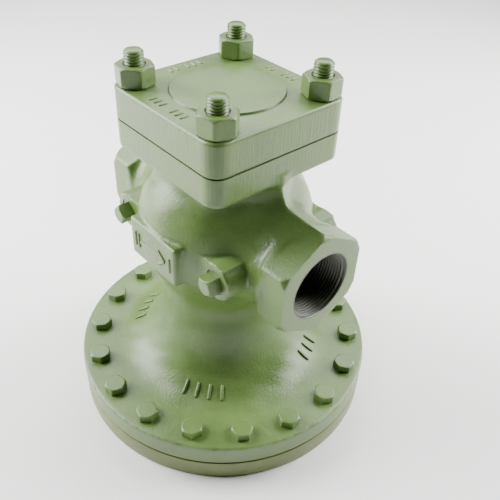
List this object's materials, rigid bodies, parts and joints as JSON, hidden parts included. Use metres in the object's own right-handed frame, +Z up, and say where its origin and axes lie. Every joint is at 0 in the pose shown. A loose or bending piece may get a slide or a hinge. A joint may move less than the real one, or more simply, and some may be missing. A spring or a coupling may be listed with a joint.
{
  "type": "steam pressure regulating valve",
  "caption": "Diaphragm-operated steam valve: globe body with threaded ends, square bolted cover, bell and wide round diaphragm chamber, with seat, disc, stem and spring inside.",
  "frame": {"origin": "on the ground plane, under the axis of the stem, at the centre of the round lower case", "axes": "+Z up along the stem; +X along the flow line, towards the outlet; -Y is the side with the name pad and the two pipe plugs"},
  "size_m": [0.2312, 0.2312, 0.2687],
  "materials": {
    "painted_casting": "satin sage-green machinery paint over grey cast iron",
    "painted_fastener": "steel fasteners under the same satin sage-green paint",
    "gasket_sheet": "matt compressed graphite sheet",
    "stainless_steel": "turned stainless steel",
    "phosphor_bronze": "rolled and turned bronze",
    "spring_steel": "dull coiled spring wire"
  },
  "bodies": {
    "body": {"body_casting": "painted_casting", "lower_diaphragm_case": "painted_casting", "cover": "painted_casting", "cover_stud_1": "painted_fastener", "cover_stud_2": "painted_fastener", "cover_stud_3": "painted_fastener", "cover_stud_4": "painted_fastener", "cover_nut_1": "painted_fastener", "cover_nut_2": "painted_fastener", "cover_nut_3": "painted_fastener", "cover_nut_4": "painted_fastener", "case_screw_01": "painted_fastener", "case_screw_02": "painted_fastener", "case_screw_03": "painted_fastener", "case_screw_04": "painted_fastener", "case_screw_05": "painted_fastener", "case_screw_06": "painted_fastener", "case_screw_07": "painted_fastener", "case_screw_08": "painted_fastener", "case_screw_09": "painted_fastener", "case_screw_10": "painted_fastener", "case_screw_11": "painted_fastener", "case_screw_12": "painted_fastener", "case_screw_13": "painted_fastener", "case_screw_14": "painted_fastener", "case_screw_15": "painted_fastener", "case_screw_16": "painted_fastener", "case_screw_17": "painted_fastener", "case_screw_18": "painted_fastener", "plug_inlet": "painted_fastener", "plug_outlet": "painted_fastener", "cover_gasket": "gasket_sheet", "spring_seat": "stainless_steel", "seat_ring": "stainless_steel", "diaphragm_lower": "phosphor_bronze", "diaphragm_upper": "phosphor_bronze", "stem_guide": "phosphor_bronze", "main_spring": "spring_steel"},
    "lift": {"pressure_plate": "stainless_steel", "valve_stem": "stainless_steel", "stem_lock_nut": "stainless_steel", "valve_disc": "stainless_steel", "disc_nut": "stainless_steel"}
  },
  "joints": [
    {"name": "valve_lift", "type": "slide", "parent": "body", "child": "lift", "axis": [0, 0, 1], "range_m": [0, 0.009], "stiffness_N_per_m": 8000, "springref_m": -0.03, "deforming": ["main_spring", "diaphragm_lower", "diaphragm_upper"]}
  ]
}
